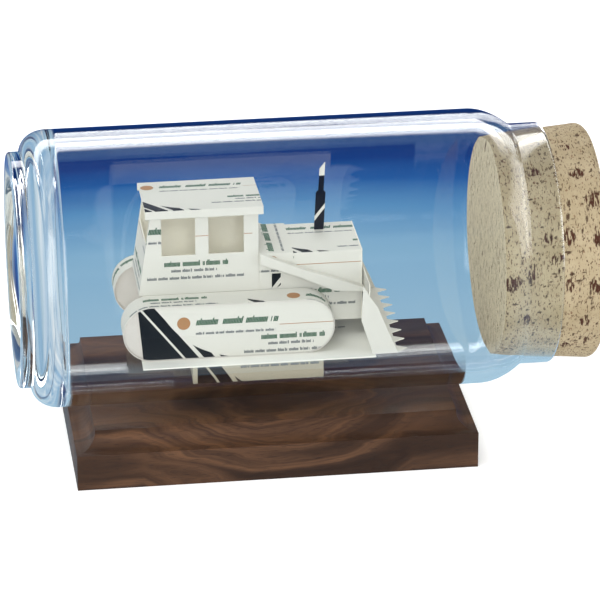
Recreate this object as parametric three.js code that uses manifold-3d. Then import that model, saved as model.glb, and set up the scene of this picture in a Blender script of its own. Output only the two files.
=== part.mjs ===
// A paper track loader folded from business cards, standing in a clear glass jar that lies on a
// walnut base and is closed by a tapered cork.
//
// Millimetres, +Z up. The origin is the centre of the base underside, +X runs along the jar
// towards the cork, and -Y is the side from which the loader is looked at.
// Loader shapes are written in the loader's own frame: x along the machine, y across it and
// h above the top of its floor plate. MACHINE moves that frame into the jar.

import * as THREE from 'three';
import { mergeVertices } from 'three/addons/utils/BufferGeometryUtils.js';
import Module from 'manifold-3d';

const wasm = await Module();
wasm.setup();

// ---------------------------------------------------------------- driving dimensions

const BASE_LENGTH = 165;
const BASE_WIDTH = 101.4;
const BASE_HEIGHT = 22.7;
const BAND_HEIGHT = 15.3;        // plain vertical face under the cove
const COVE_LEDGE = 1.35;         // flat step between the vertical face and the cove
const COVE_RADIUS = 6.75;

const JAR_RADIUS = 57.15;        // a 4.5 inch jar
const JAR_WALL = 4.8;
const JAR_AXIS_HEIGHT = 77.05;   // sinks the jar about 3 mm into the channel of the base
const JAR_SEGMENTS = 60;
const FOOT_X = -103.5;           // plane of the foot ring at the closed end
const PUNT_DEPTH = 5.4;          // how far the bottom is recessed behind the foot ring
const HEEL_X = -87.3;            // where the straight wall meets the rounded heel
const HEEL_DROP = 8.55;          // how much smaller the foot ring is than the wall, in radius
const SHOULDER_X = 87.3;         // where the straight wall meets the shoulder
const NECK_X = 104;              // where the shoulder meets the neck
const MOUTH_X = 117;             // plane of the rim
const NECK_RADIUS = 50;
const NECK_BORE = 47.6;
const RIM_RADIUS = 1.2;
const INNER_FLOOR_X = -90.9;     // inside face of the jar's bottom
const SEAT_CLEARANCE = 0.1;      // between the jar and its channel

const CORK_INNER_X = 92.7;
const CORK_OUTER_X = 135.9;
const CORK_INNER_RADIUS = 45.45;
const CORK_OUTER_RADIUS = 49.15;
const CORK_EDGE = 3.6;           // rounding of the outer end

const CARD = 0.4;                // one business card
const GAP = 0.05;                // between two sheets that are glued or touch
const SLANT_GAP = 0.3;           // between sheets that meet at a slant

const MACHINE = new THREE.Vector3(-0.36, -5.9, 48.7);   // loader frame inside the jar

const FLOOR = { x0: -53.75, x1: 41.5, halfWidth: 38.9, thickness: 0.5 };
const PEDESTAL = { x0: -33.6, x1: 19.9, halfWidth: 38.9 };

const TRACK_LEFT = -61.2;
const TRACK_RIGHT = 25.4;
const TRACK_HEIGHT = 23.4;
const TRACK_OUTER_Y = 27.35;
const TRACK_INNER_Y = 15.75;
const TRACK_PLATE_INSET = 0.3;   // the side plates sit just inside the wrapped band
const TRACK_INNER_INSET = 1.4;
const FACE_CARD_TOP_X = -55;     // cut left end of the printed card on each outer plate
const FACE_CARD_FOOT_X = -53.2;

const CAB_HALF_WIDTH = 15.65;
const CAB_FRONT_X = -4.4;
const CAB_REAR_FOOT_X = -53.5;
const CAB_REAR_HEAD_X = -48.1;
const CAB_FLOOR_H = TRACK_HEIGHT + GAP;
const CAB_HEAD_H = 59.2;
const SIDE_WINDOWS = [[-44, -30.2], [-24.8, -10.4]];
const SILL_H = 40.3;
const FAR_SILL_H = 43.5;         // the windows of the far wall start higher
const WINDOW_HEAD_H = 56.4;
const REAR_SILL_H = 45;
const REAR_POST = 1.4;           // card left standing each side of the rear window
const WINDSCREEN = { halfWidth: 10.8, sill: 43.2 };

const ROOF = { x0: -50.6, x1: -2.5, nearY: -17.8, farY: 17, nearH: 60.6, farH: 59.7 };
const ROOF_FLAP = 3.5;

const HOOD_FRONT_X = 38.3;
const HOOD_HALF_WIDTH = 15.2;
const HOOD_TOP_H = 38.7;
const HOOD_BOTTOM_H = 7.9;
const COWL_FRONT_X = 9.8;
const COWL_DROP = 4.15;

const STACK_Y = 7.5;
const STACK_FOOT_X = 21.4;
const STACK_WIDTH = 4.0;
const STACK_LEAN = 0.8;          // drift towards the front over the wide part
const STACK_SHOULDER_H = 16.3;
const STACK_TOP_H = 29.3;
const STACK_NARROW_WIDTH = 2.2;

const ARM_INNER_Y = 15.3;
const ARM_OUTER_Y = 18.55;
const ARM_TOP = [[-4, 40.1], [13.6, 32.4], [38.65, 23.3]];
const ARM_UNDER = [[38.65, 21.5], [26.6, 22.5], [9.7, 30.2], [-4, 35.6]];

const BUCKET_HALF_WIDTH = 31.7;
const BUCKET_BACK_X = 38.8;
const BUCKET_KNEE_H = 14.8;
const BUCKET_TOP_H = 29.9;
const BUCKET_HEEL_X = 41.4;
const BUCKET_LIP_X = 50.9;
const TOOTH_TIP_X = 55.2;
const TOOTH_COUNT = 8;
const TOOTH_WIDTH = 4.7;

// ---------------------------------------------------------------- materials

function material(color, roughness) {
  return new THREE.MeshStandardMaterial({ color, roughness, metalness: 0 });
}

const WALNUT = () => material(0x4a372d, 0.45);
const CORK = () => material(0xcdbfa0, 0.9);
const PRINTED = () => material(0xe8e6e0, 0.65);
const PLAIN = () => material(0xd2cdb8, 0.7);
const BLACK = () => material(0x15171c, 0.5);

function glass() {
  const clear = material(0xd8e6ea, 0.05);
  clear.transparent = true;
  clear.opacity = 0.3;
  return clear;
}

// ---------------------------------------------------------------- geometry helpers

// Points along an arc of an ellipse, from angle a0 to a1 in degrees, both ends included.
function arc(cx, cy, rx, ry, a0, a1, steps) {
  const points = [];
  for (let i = 0; i <= steps; i++) {
    const a = THREE.MathUtils.degToRad(a0 + ((a1 - a0) * i) / steps);
    points.push([cx + rx * Math.cos(a), cy + ry * Math.sin(a)]);
  }
  return points;
}

function bezier(p0, p1, p2, steps) {
  const curve = new THREE.QuadraticBezierCurve(
    new THREE.Vector2(...p0), new THREE.Vector2(...p1), new THREE.Vector2(...p2));
  return curve.getPoints(steps).map((p) => [p.x, p.y]);
}

function outline(points) {
  return new THREE.Shape(points.map(([a, b]) => new THREE.Vector2(a, b)));
}

// Extrudes a closed outline along one axis. Along 'x' the outline holds [y, z] pairs, along 'y'
// it holds [x, z] pairs and along 'z' it holds [x, y] pairs.
function prism(points, axis, from, to, hole = null) {
  const shape = outline(points);
  if (hole) {
    shape.holes.push(outline(hole));
  }
  const geometry = new THREE.ExtrudeGeometry(shape, { depth: to - from, bevelEnabled: false });
  if (axis === 'x') {
    const turn = new THREE.Matrix4().makeBasis(
      new THREE.Vector3(0, 1, 0), new THREE.Vector3(0, 0, 1), new THREE.Vector3(1, 0, 0));
    geometry.applyMatrix4(turn);
    geometry.translate(from, 0, 0);
  } else if (axis === 'y') {
    geometry.rotateX(Math.PI / 2);
    geometry.translate(0, to, 0);
  } else {
    geometry.translate(0, 0, from);
  }
  return geometry;
}

// A block between two corners; the y pair may come in either order.
function box(x0, x1, y0, y1, z0, z1) {
  const geometry = new THREE.BoxGeometry(x1 - x0, Math.abs(y1 - y0), z1 - z0);
  geometry.translate((x0 + x1) / 2, (y0 + y1) / 2, (z0 + z1) / 2);
  return geometry;
}

// A body of revolution about the jar axis, from a profile of [x, radius] pairs.
function turned(profile, segments) {
  const points = profile.map(([x, r]) => new THREE.Vector2(r, x));
  const geometry = new THREE.LatheGeometry(points, segments);
  geometry.rotateZ(-Math.PI / 2);
  geometry.rotateX(Math.PI / segments);
  geometry.translate(0, 0, JAR_AXIS_HEIGHT);
  return geometry;
}

// A sheet that follows a chain of points: the chain is its outer face, and the sheet lies to
// the right of it as the chain is walked.
function folded(chain, thickness = CARD) {
  const inner = chain.map((point, i) => {
    const before = chain[Math.max(i - 1, 0)];
    const after = chain[Math.min(i + 1, chain.length - 1)];
    const normals = [];
    if (i > 0) {
      normals.push(rightOf(before, point));
    }
    if (i < chain.length - 1) {
      normals.push(rightOf(point, after));
    }
    const mean = new THREE.Vector2();
    normals.forEach((n) => mean.add(n));
    mean.normalize();
    const reach = thickness / mean.dot(normals[0]);
    return [point[0] + mean.x * reach, point[1] + mean.y * reach];
  });
  return [...chain, ...inner.reverse()];
}

function rightOf(a, b) {
  return new THREE.Vector2(b[1] - a[1], a[0] - b[0]).normalize();
}

function toManifold(geometry) {
  const bare = geometry.clone();
  bare.deleteAttribute('normal');
  bare.deleteAttribute('uv');
  const merged = mergeVertices(bare, 1e-4);
  return new wasm.Manifold(new wasm.Mesh({
    numProp: 3,
    vertProperties: new Float32Array(merged.attributes.position.array),
    triVerts: new Uint32Array(merged.index.array),
  }));
}

function fromManifold(solid) {
  const mesh = solid.getMesh();
  const geometry = new THREE.BufferGeometry();
  geometry.setAttribute('position', new THREE.BufferAttribute(mesh.vertProperties, 3));
  geometry.setIndex(new THREE.BufferAttribute(mesh.triVerts, 1));
  geometry.computeVertexNormals();
  return geometry;
}

function cut(geometry, ...tools) {
  let solid = toManifold(geometry);
  tools.forEach((tool) => {
    solid = solid.subtract(toManifold(tool));
  });
  return fromManifold(solid);
}

function join(geometry, ...others) {
  let solid = toManifold(geometry);
  others.forEach((other) => {
    solid = solid.add(toManifold(other));
  });
  return fromManifold(solid);
}

function common(a, b) {
  return fromManifold(toManifold(a).intersect(toManifold(b)));
}

function mirrored(points) {
  return points.map(([y, z]) => [-y, z]).reverse();
}

const group = new THREE.Group();

function add(name, geometry, look, offset = null) {
  const mesh = new THREE.Mesh(geometry, look);
  mesh.name = name;
  if (offset) {
    mesh.position.copy(offset);
  }
  group.add(mesh);
}

function addToLoader(name, geometry, look) {
  add(name, geometry, look, MACHINE);
}

// ---------------------------------------------------------------- walnut base

// Half of the end profile as [distance, z] pairs: vertical face, ledge, cove, small lip.
function baseProfile(half) {
  const coveFoot = half - COVE_LEDGE;
  const side = [
    [half, 0],
    [half, BAND_HEIGHT],
    ...arc(coveFoot, BAND_HEIGHT + COVE_RADIUS, COVE_RADIUS, COVE_RADIUS, 270, 180, 8),
    [coveFoot - COVE_RADIUS, BASE_HEIGHT],
  ];
  return [...side, ...mirrored(side)];
}

const channel = new THREE.CylinderGeometry(
  JAR_RADIUS + SEAT_CLEARANCE, JAR_RADIUS + SEAT_CLEARANCE, BASE_LENGTH + 10, 180);
channel.rotateZ(Math.PI / 2);
channel.translate(0, 0, JAR_AXIS_HEIGHT);

const moulded = common(
  prism(baseProfile(BASE_WIDTH / 2), 'x', -BASE_LENGTH / 2, BASE_LENGTH / 2),
  prism(baseProfile(BASE_LENGTH / 2), 'y', -BASE_WIDTH / 2, BASE_WIDTH / 2));
add('walnut_base', cut(moulded, channel), WALNUT());

// ---------------------------------------------------------------- glass jar

const jarInner = JAR_RADIUS - JAR_WALL;
const heelRadius = JAR_RADIUS - HEEL_DROP;
const bottomX = FOOT_X + PUNT_DEPTH;
const innerCorner = 7.2;
const footRound = 1.45;
const jarProfile = [
  [bottomX, 0],
  [bottomX, heelRadius - 12.6],
  ...arc(bottomX, heelRadius - 3.6, PUNT_DEPTH, 9, 270, 180, 4).slice(1),
  ...arc(FOOT_X + footRound, heelRadius - footRound, footRound, footRound, 180, 90, 3),
  [bottomX - 0.5, heelRadius],
  ...arc(HEEL_X, heelRadius, HEEL_X - bottomX, HEEL_DROP, 180, 90, 8),
  ...bezier([SHOULDER_X, JAR_RADIUS], [SHOULDER_X + 8.1, JAR_RADIUS], [NECK_X, NECK_RADIUS], 8),
  ...arc(MOUTH_X - RIM_RADIUS, NECK_RADIUS - RIM_RADIUS, RIM_RADIUS, RIM_RADIUS, 90, -90, 6),
  [MOUTH_X - 2, NECK_BORE],
  ...bezier([NECK_X - 1.8, NECK_BORE], [NECK_X - 9, jarInner], [SHOULDER_X - 0.9, jarInner], 7),
  ...arc(INNER_FLOOR_X + innerCorner, jarInner - innerCorner, innerCorner, innerCorner, 90, 180, 6),
  [INNER_FLOOR_X, 0],
];
add('glass_jar', turned(jarProfile, JAR_SEGMENTS), glass());

// ---------------------------------------------------------------- cork

const corkTaper = (CORK_OUTER_RADIUS - CORK_INNER_RADIUS) / (CORK_OUTER_X - CORK_INNER_X);
const corkProfile = [
  [CORK_INNER_X, 0],
  [CORK_INNER_X, CORK_INNER_RADIUS - 0.5],
  [CORK_INNER_X + 0.5, CORK_INNER_RADIUS],
  [CORK_OUTER_X - CORK_EDGE, CORK_OUTER_RADIUS - corkTaper * CORK_EDGE],
  ...arc(CORK_OUTER_X - CORK_EDGE, CORK_OUTER_RADIUS - corkTaper * CORK_EDGE - CORK_EDGE,
    CORK_EDGE, CORK_EDGE, 90, 0, 5).slice(1),
  [CORK_OUTER_X, 0],
];
add('cork_stopper', turned(corkProfile, JAR_SEGMENTS), CORK());

// ---------------------------------------------------------------- floor plate and pedestal

const floorTop = MACHINE.z;
const floorUnder = floorTop - FLOOR.thickness;
add('floor_plate', box(FLOOR.x0, FLOOR.x1, -FLOOR.halfWidth, FLOOR.halfWidth,
  floorUnder, floorTop), PRINTED(), new THREE.Vector3(MACHINE.x, 0, 0));

// The pedestal's long walls stand on the curved glass just inside its smallest facet radius.
const glassReach = jarInner * Math.cos(Math.PI / JAR_SEGMENTS) - 0.1;
const pedestalFoot = JAR_AXIS_HEIGHT - Math.sqrt(glassReach ** 2 - PEDESTAL.halfWidth ** 2);
const pedestalHead = floorUnder - GAP;
const pedestalOffset = new THREE.Vector3(MACHINE.x, 0, 0);

[['pedestal_front', -1], ['pedestal_back', 1]].forEach(([name, side]) => {
  const outer = side * PEDESTAL.halfWidth;
  const inner = side * (PEDESTAL.halfWidth - CARD);
  add(name, box(PEDESTAL.x0, PEDESTAL.x1, outer, inner, pedestalFoot, pedestalHead),
    PRINTED(), pedestalOffset);
});

[['pedestal_left_end', PEDESTAL.x0, 1], ['pedestal_right_end', PEDESTAL.x1, -1]].forEach(
  ([name, x, inwards]) => {
    const y = PEDESTAL.halfWidth - CARD - GAP;
    const near = Math.min(x, x + inwards * CARD);
    add(name, box(near, near + CARD, -y, y, pedestalFoot, pedestalHead), PRINTED(),
      pedestalOffset);
  });

// ---------------------------------------------------------------- tracks

function stadium(inset, steps = 14) {
  const radius = TRACK_HEIGHT / 2 - inset;
  const left = TRACK_LEFT + TRACK_HEIGHT / 2;
  const right = TRACK_RIGHT - TRACK_HEIGHT / 2;
  const middle = TRACK_HEIGHT / 2;
  return [
    ...arc(right, middle, radius, radius, -90, 90, steps),
    ...arc(left, middle, radius, radius, 90, 270, steps),
  ];
}

// The printed card on a track's outer plate: the same stadium, cut off at its left end.
function faceCard(inset, steps = 14) {
  const radius = TRACK_HEIGHT / 2 - inset;
  const left = TRACK_LEFT + TRACK_HEIGHT / 2;
  const angleAt = (x) => THREE.MathUtils.radToDeg(Math.acos((x - left) / radius));
  const right = stadium(inset, steps).slice(0, steps + 1);
  const middle = TRACK_HEIGHT / 2;
  return [
    ...right,
    ...arc(left, middle, radius, radius, 90, angleAt(FACE_CARD_TOP_X), 3),
    ...arc(left, middle, radius, radius, 360 - angleAt(FACE_CARD_FOOT_X), 270, 3),
  ];
}

function lifted(points, dz) {
  return points.map(([x, z]) => [x, z + dz]);
}

[['near', -1], ['far', 1]].forEach(([sideName, side]) => {
  const slab = (name, points, distance, thickness, look, hole = null) => {
    const a = side * distance;
    const b = side * (distance - thickness);
    addToLoader(name, prism(points, 'y', Math.min(a, b), Math.max(a, b), hole), look);
  };
  const raise = (points) => lifted(points, GAP);
  const width = TRACK_OUTER_Y - TRACK_INNER_Y;
  const faceY = TRACK_OUTER_Y - TRACK_PLATE_INSET;
  slab(`${sideName}_track_band`, raise(stadium(0)), TRACK_OUTER_Y, width, PRINTED(),
    raise(stadium(CARD)));
  slab(`${sideName}_track_face_card`, raise(faceCard(CARD + GAP)), faceY, CARD, PRINTED());
  slab(`${sideName}_track_outer_plate`, raise(stadium(CARD + GAP)), faceY - CARD - GAP, CARD,
    PLAIN());
  slab(`${sideName}_track_inner_plate`, raise(stadium(CARD + GAP)),
    TRACK_INNER_Y + TRACK_INNER_INSET, CARD, PLAIN());
});

// ---------------------------------------------------------------- chassis between the tracks

const CHASSIS_HALF_WIDTH = TRACK_INNER_Y - 0.6;
const CHASSIS_REAR_X = -49.5;
const CHASSIS_FRONT_X = CAB_FRONT_X - CARD - GAP;
const chassisHead = TRACK_HEIGHT - CARD - GAP;

addToLoader('chassis_deck', box(CHASSIS_REAR_X, CHASSIS_FRONT_X, -CHASSIS_HALF_WIDTH,
  CHASSIS_HALF_WIDTH, TRACK_HEIGHT - CARD, TRACK_HEIGHT), PLAIN());
[['near', -1], ['far', 1]].forEach(([sideName, side]) => {
  const a = side * CHASSIS_HALF_WIDTH;
  const b = side * (CHASSIS_HALF_WIDTH - CARD);
  addToLoader(`chassis_${sideName}_side`, box(CHASSIS_REAR_X, CHASSIS_FRONT_X, a, b,
    GAP, chassisHead), PLAIN());
});
[['rear', CHASSIS_REAR_X], ['front', CHASSIS_FRONT_X - CARD]].forEach(([end, x]) => {
  const y = CHASSIS_HALF_WIDTH - CARD - GAP;
  addToLoader(`chassis_${end}_end`, box(x, x + CARD, -y, y, GAP, chassisHead), PLAIN());
});

// ---------------------------------------------------------------- cab

const cabSide = [
  [CAB_REAR_FOOT_X, CAB_FLOOR_H],
  [CAB_FRONT_X, CAB_FLOOR_H],
  [CAB_FRONT_X, CAB_HEAD_H],
  [CAB_REAR_HEAD_X, CAB_HEAD_H],
];

[['near', -1], ['far', 1]].forEach(([sideName, side]) => {
  const a = side * CAB_HALF_WIDTH;
  const b = side * (CAB_HALF_WIDTH - CARD);
  const wall = prism(cabSide, 'y', Math.min(a, b), Math.max(a, b));
  const sill = side < 0 ? SILL_H : FAR_SILL_H;
  const windows = SIDE_WINDOWS.map(([x0, x1]) => box(x0, x1, a - 2, a + 2, sill,
    WINDOW_HEAD_H));
  addToLoader(`cab_${sideName}_wall`, cut(wall, ...windows), PRINTED());
});

const cabInnerHalf = CAB_HALF_WIDTH - CARD - GAP;
const rearWall = prism(
  folded([[CAB_REAR_FOOT_X, CAB_FLOOR_H], [CAB_REAR_HEAD_X, CAB_HEAD_H]]),
  'y', -cabInnerHalf, cabInnerHalf);
const rearOpening = box(CAB_REAR_FOOT_X - 5, CAB_REAR_HEAD_X + 8, -cabInnerHalf + REAR_POST,
  cabInnerHalf - REAR_POST, REAR_SILL_H, CAB_HEAD_H + 1);
addToLoader('cab_rear_wall', cut(rearWall, rearOpening), PRINTED());

const frontWall = box(CAB_FRONT_X - CARD, CAB_FRONT_X, -cabInnerHalf, cabInnerHalf,
  CAB_FLOOR_H, CAB_HEAD_H);
const windscreen = box(CAB_FRONT_X - 2, CAB_FRONT_X + 2, -WINDSCREEN.halfWidth,
  WINDSCREEN.halfWidth, WINDSCREEN.sill, WINDOW_HEAD_H);
addToLoader('cab_front_wall', cut(frontWall, windscreen), PRINTED());

// The roof is one sheet with a flap folded down along each side; its near edge rides higher.
const roofSection = folded([
  [ROOF.nearY, ROOF.nearH - ROOF_FLAP],
  [ROOF.nearY, ROOF.nearH],
  [ROOF.farY, ROOF.farH],
  [ROOF.farY, ROOF.farH - ROOF_FLAP],
]);
addToLoader('cab_roof', prism(roofSection, 'x', ROOF.x0, ROOF.x1), PRINTED());

// ---------------------------------------------------------------- engine hood

const hoodSection = folded([
  [-HOOD_HALF_WIDTH, HOOD_BOTTOM_H],
  [-HOOD_HALF_WIDTH, HOOD_TOP_H],
  [HOOD_HALF_WIDTH, HOOD_TOP_H],
  [HOOD_HALF_WIDTH, HOOD_BOTTOM_H],
]);
const hoodRear = CAB_FRONT_X + GAP;
const radiatorBack = HOOD_FRONT_X - CARD;
addToLoader('engine_hood', prism(hoodSection, 'x', hoodRear, radiatorBack - GAP), PRINTED());
addToLoader('radiator_panel', box(radiatorBack, HOOD_FRONT_X, -HOOD_HALF_WIDTH,
  HOOD_HALF_WIDTH, HOOD_BOTTOM_H, HOOD_TOP_H), PRINTED());

const cowlHalf = HOOD_HALF_WIDTH + GAP + CARD;
const cowlTop = HOOD_TOP_H + GAP + CARD;
const cowlSection = folded([
  [-cowlHalf, cowlTop - COWL_DROP],
  [-cowlHalf, cowlTop],
  [cowlHalf, cowlTop],
  [cowlHalf, cowlTop - COWL_DROP],
]);
addToLoader('cowl_strip', prism(cowlSection, 'x', hoodRear, COWL_FRONT_X), PRINTED());

// ---------------------------------------------------------------- exhaust stack

const stackFoot = HOOD_TOP_H + GAP;
const shoulderX = STACK_FOOT_X + STACK_WIDTH + STACK_LEAN;
const shoulderH = stackFoot + STACK_SHOULDER_H;
const stackOutline = [
  [STACK_FOOT_X, stackFoot],
  [STACK_FOOT_X + STACK_WIDTH, stackFoot],
  [shoulderX, shoulderH],
  [shoulderX - 0.8, shoulderH + 0.9],
  [shoulderX - 0.1, stackFoot + STACK_TOP_H],
  [shoulderX - 0.2 - STACK_NARROW_WIDTH, stackFoot + STACK_TOP_H - 2.9],
  [shoulderX - 0.8 - STACK_NARROW_WIDTH, shoulderH + 0.9],
  [shoulderX - STACK_WIDTH, shoulderH],
];
addToLoader('exhaust_stack', prism(stackOutline, 'y', STACK_Y - CARD, STACK_Y + CARD), BLACK());

// ---------------------------------------------------------------- lift arms

// Each arm is an L-shaped fold: a narrow top face against the hood and a deeper outer face.
[['near', -1], ['far', 1]].forEach(([sideName, side]) => {
  const span = (inner, outer) => [side * inner, side * outer].sort((p, q) => p - q);
  const [t0, t1] = span(ARM_INNER_Y, ARM_OUTER_Y);
  const [s0, s1] = span(ARM_OUTER_Y - CARD, ARM_OUTER_Y);
  const top = prism(folded(ARM_TOP), 'y', t0, t1);
  const face = prism([...ARM_TOP, ...ARM_UNDER], 'y', s0, s1);
  const cowlRoom = box(CAB_FRONT_X - 1, COWL_FRONT_X + SLANT_GAP, side * (ARM_INNER_Y - 1),
    side * (cowlHalf + GAP), cowlTop - 20, cowlTop + 5);
  addToLoader(`${sideName}_lift_arm`, cut(join(top, face), cowlRoom), PRINTED());
});

// ---------------------------------------------------------------- bucket

const bucketInner = BUCKET_HALF_WIDTH - CARD - GAP;
const backChain = [
  [BUCKET_HEEL_X, 0.85],
  [BUCKET_BACK_X, BUCKET_KNEE_H],
  [BUCKET_BACK_X, BUCKET_TOP_H],
];
addToLoader('bucket_back', prism(folded(backChain), 'y', -bucketInner, bucketInner), PRINTED());

// The side plates reach a little behind the bucket's back and lean forward to the lip.
const bucketSide = [
  [BUCKET_HEEL_X - 1, 0.1],
  [BUCKET_LIP_X, 0.1],
  [46.4, 10.2],
  [42.3, 20.2],
  [39.4, 24.5],
  [36.3, BUCKET_TOP_H],
  [35.6, BUCKET_KNEE_H],
];
[['near', -1], ['far', 1]].forEach(([sideName, side]) => {
  const a = side * BUCKET_HALF_WIDTH;
  const b = side * (BUCKET_HALF_WIDTH - CARD);
  addToLoader(`bucket_${sideName}_side`, prism(bucketSide, 'y', Math.min(a, b),
    Math.max(a, b)), PRINTED());
});

// The cutting edge: a flat plate with a row of pointed teeth cut into its front.
const pitch = (2 * bucketInner - TOOTH_WIDTH - 1) / (TOOTH_COUNT - 1);
const teeth = [];
for (let i = 0; i < TOOTH_COUNT; i++) {
  const y = -bucketInner + 0.5 + TOOTH_WIDTH / 2 + i * pitch;
  teeth.push([BUCKET_LIP_X, y - TOOTH_WIDTH / 2]);
  teeth.push([TOOTH_TIP_X, y]);
  teeth.push([BUCKET_LIP_X, y + TOOTH_WIDTH / 2]);
}
const edgeOutline = [
  [BUCKET_HEEL_X, -bucketInner],
  [BUCKET_LIP_X, -bucketInner],
  ...teeth,
  [BUCKET_LIP_X, bucketInner],
  [BUCKET_HEEL_X, bucketInner],
];
addToLoader('bucket_toothed_edge', prism(edgeOutline, 'z', 0.1, 0.1 + CARD), PRINTED());

export default group;
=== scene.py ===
"""Looks for a paper track loader in a corked glass jar that lies on a walnut base.

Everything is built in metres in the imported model's own frame. Design sizes are written in
millimetres and turned into metres by MM. The loader has its own frame, as in the CAD source:
x along the machine, y across it and h above the top of its floor plate.
"""

import math

import bmesh
import bpy
import numpy as np
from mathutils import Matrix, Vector
from mathutils.kdtree import KDTree


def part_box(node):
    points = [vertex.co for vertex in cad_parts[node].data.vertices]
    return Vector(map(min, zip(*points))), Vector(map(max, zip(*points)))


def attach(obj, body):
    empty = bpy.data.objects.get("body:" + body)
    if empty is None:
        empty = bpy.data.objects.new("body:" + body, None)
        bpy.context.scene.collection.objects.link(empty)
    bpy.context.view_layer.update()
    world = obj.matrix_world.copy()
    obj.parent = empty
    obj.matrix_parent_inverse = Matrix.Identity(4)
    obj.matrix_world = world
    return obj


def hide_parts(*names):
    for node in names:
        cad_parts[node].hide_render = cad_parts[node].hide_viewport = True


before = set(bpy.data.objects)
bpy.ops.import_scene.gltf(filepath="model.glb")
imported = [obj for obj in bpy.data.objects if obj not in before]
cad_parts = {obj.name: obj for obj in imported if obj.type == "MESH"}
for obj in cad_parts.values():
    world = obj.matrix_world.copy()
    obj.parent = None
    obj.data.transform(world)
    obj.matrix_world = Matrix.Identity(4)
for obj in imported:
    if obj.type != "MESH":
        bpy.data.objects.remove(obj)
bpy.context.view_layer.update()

# ------------------------ driving dimensions

MM = 0.001


def node_box(name):
    """Lowest and highest corner of a CAD node, in millimetres."""
    low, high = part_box(name)
    return low / MM, high / MM


# The jar: its foot ring, heel, shoulder and neck along the axis, from the CAD node's ends.
JAR_LOW, JAR_HIGH = node_box("glass_jar")
JAR_RADIUS = (JAR_HIGH.z - JAR_LOW.z) / 2
AXIS_Z = (JAR_HIGH.z + JAR_LOW.z) / 2
FOOT_X = JAR_LOW.x
MOUTH_X = JAR_HIGH.x
JAR_WALL = 4.8
PUNT_DEPTH = 5.4
FOOT_ROUNDING = 1.45
FOOT_WIDTH = 3.6
FOOT_SLOPE = 9
HEEL_X = FOOT_X + 16.2
HEEL_DROP = 8.55
SHOULDER_X = MOUTH_X - 29.7
SHOULDER_PULL = 8.1
NECK_X = MOUTH_X - 13
NECK_RADIUS = 50
NECK_BORE = 47.6
RIM_RADIUS = 1.2
INNER_FLOOR_X = FOOT_X + 12.6
INNER_CORNER = 7.2
JAR_SEGMENTS = 192
GLASS_IOR = 1.5
# Number of bounces after which a ray passes straight through the glass.
LAST_REFLECTION = 2.5
LAST_REFRACTION = 8.5

# The cork: a cone with a rounded outer edge.
CORK_LOW, CORK_HIGH = node_box("cork_stopper")
CORK_INNER_RADIUS = 45.45
CORK_OUTER_RADIUS = 49.15
CORK_EDGE = 3.6
CORK_INNER_EDGE = 0.7
CORK_STEP = 0.75
CORK_SEGMENTS = 450
# Brown bark remains on the side of the cork: distance along the axis from the inner end, angle
# from the viewer's side up over the top in degrees, half size around and half size along.
BARK_SPOTS = [
    (26.5, 25, 5.0, 3.2), (21.2, 15, 2.4, 3.0), (37.5, 43, 4.4, 2.8), (26.8, 1, 3.0, 1.8),
    (37.0, 0, 3.4, 2.4), (1.2, 3, 3.4, 4.6), (11.0, 8, 3.8, 2.2), (18.0, 25, 2.8, 1.8),
    (38.0, 24, 4.0, 1.6), (33.0, 58, 2.6, 3.2), (15.0, 60, 2.2, 3.4), (30.0, 76, 2.0, 3.0),
    (33.5, -20, 3.4, 2.0), (36.0, -34, 3.2, 1.4), (28.0, -40, 2.4, 2.4), (8.0, -18, 3.0, 1.6),
    (30.0, 178, 3.0, 2.4), (14.0, 205, 2.6, 3.2), (24.0, 262, 3.4, 2.2), (8.0, 120, 2.8, 2.0),
]
CORK_SIDE_PITS = 1800
CORK_END_PITS = 520
CORK_PIT_DEPTH = 0.3
BARK_DEPTH = 0.12
# How far past its own half axes a pit or a spot fades out.
PIT_SPREAD = 1.35
BARK_SPREAD = 1.3

# The base: its plain band, and above it a ledge and a quarter-round hollow on all four sides.
_, BASE_HIGH = node_box("walnut_base")
PLINTH_HEIGHT = 15.3
COVE_LEDGE = 1.35
COVE_RADIUS = 6.75
SEAT_CLEARANCE = 0.1
CHANNEL_OVERRUN = 8
CHANNEL_SEGMENTS = 360
ARRIS = 0.35

# The loader: its own frame's origin, the card's thickness and how card folds and cuts look.
MACHINE = Vector((-0.36, -5.9, node_box("floor_plate")[1].z))
CARD = 0.4
FOLD_RADIUS = 0.65
CUT_SOFTENING = 0.06
FOLD_ANGLE = 25
SHARP_ANGLE = 50
# Least part of a face's normal along an axis for it to count as looking that way: for a printed
# side, for a broad face of a flat card, for a side flap and for the cut end of a fold or an arm.
FACING = 0.35
BROAD_FACE = 0.2
SIDE_FLAP = 0.8
FOLD_END = 0.5
ARM_END = 0.9
# How far below its top the inside of a box-like fold is taken to be.
FOLD_INSIDE = 8
FACE_SEAM_H = 10.2
FACE_SEAM_STEP = 0.17
# Places along a track band where its two cards meet, where a black tail shows between two ends,
# and the cross-sections of its straight runs.
BAND_JOINT_X = -22.5
BAND_MARK = (-10, -0.5)
BAND_STATIONS = [-45, -36, -29, BAND_JOINT_X, -16, BAND_MARK[0], -5, BAND_MARK[1], 7]
BAND_ARC_STEPS = 32
# Ends of the black tail on the side of the hood, where two cards overlap.
HOOD_MARK = (1.0, 4.7)
PEDESTAL_MARGIN = 1.9
STACK_ROUNDING = 0.1
STACK_TIP = 5.6
STACK_STRIPE_H = 4.8
STACK_STRIPE_SLOPE = 1.28
STACK_STRIPE_WIDTH = 2.0

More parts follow.
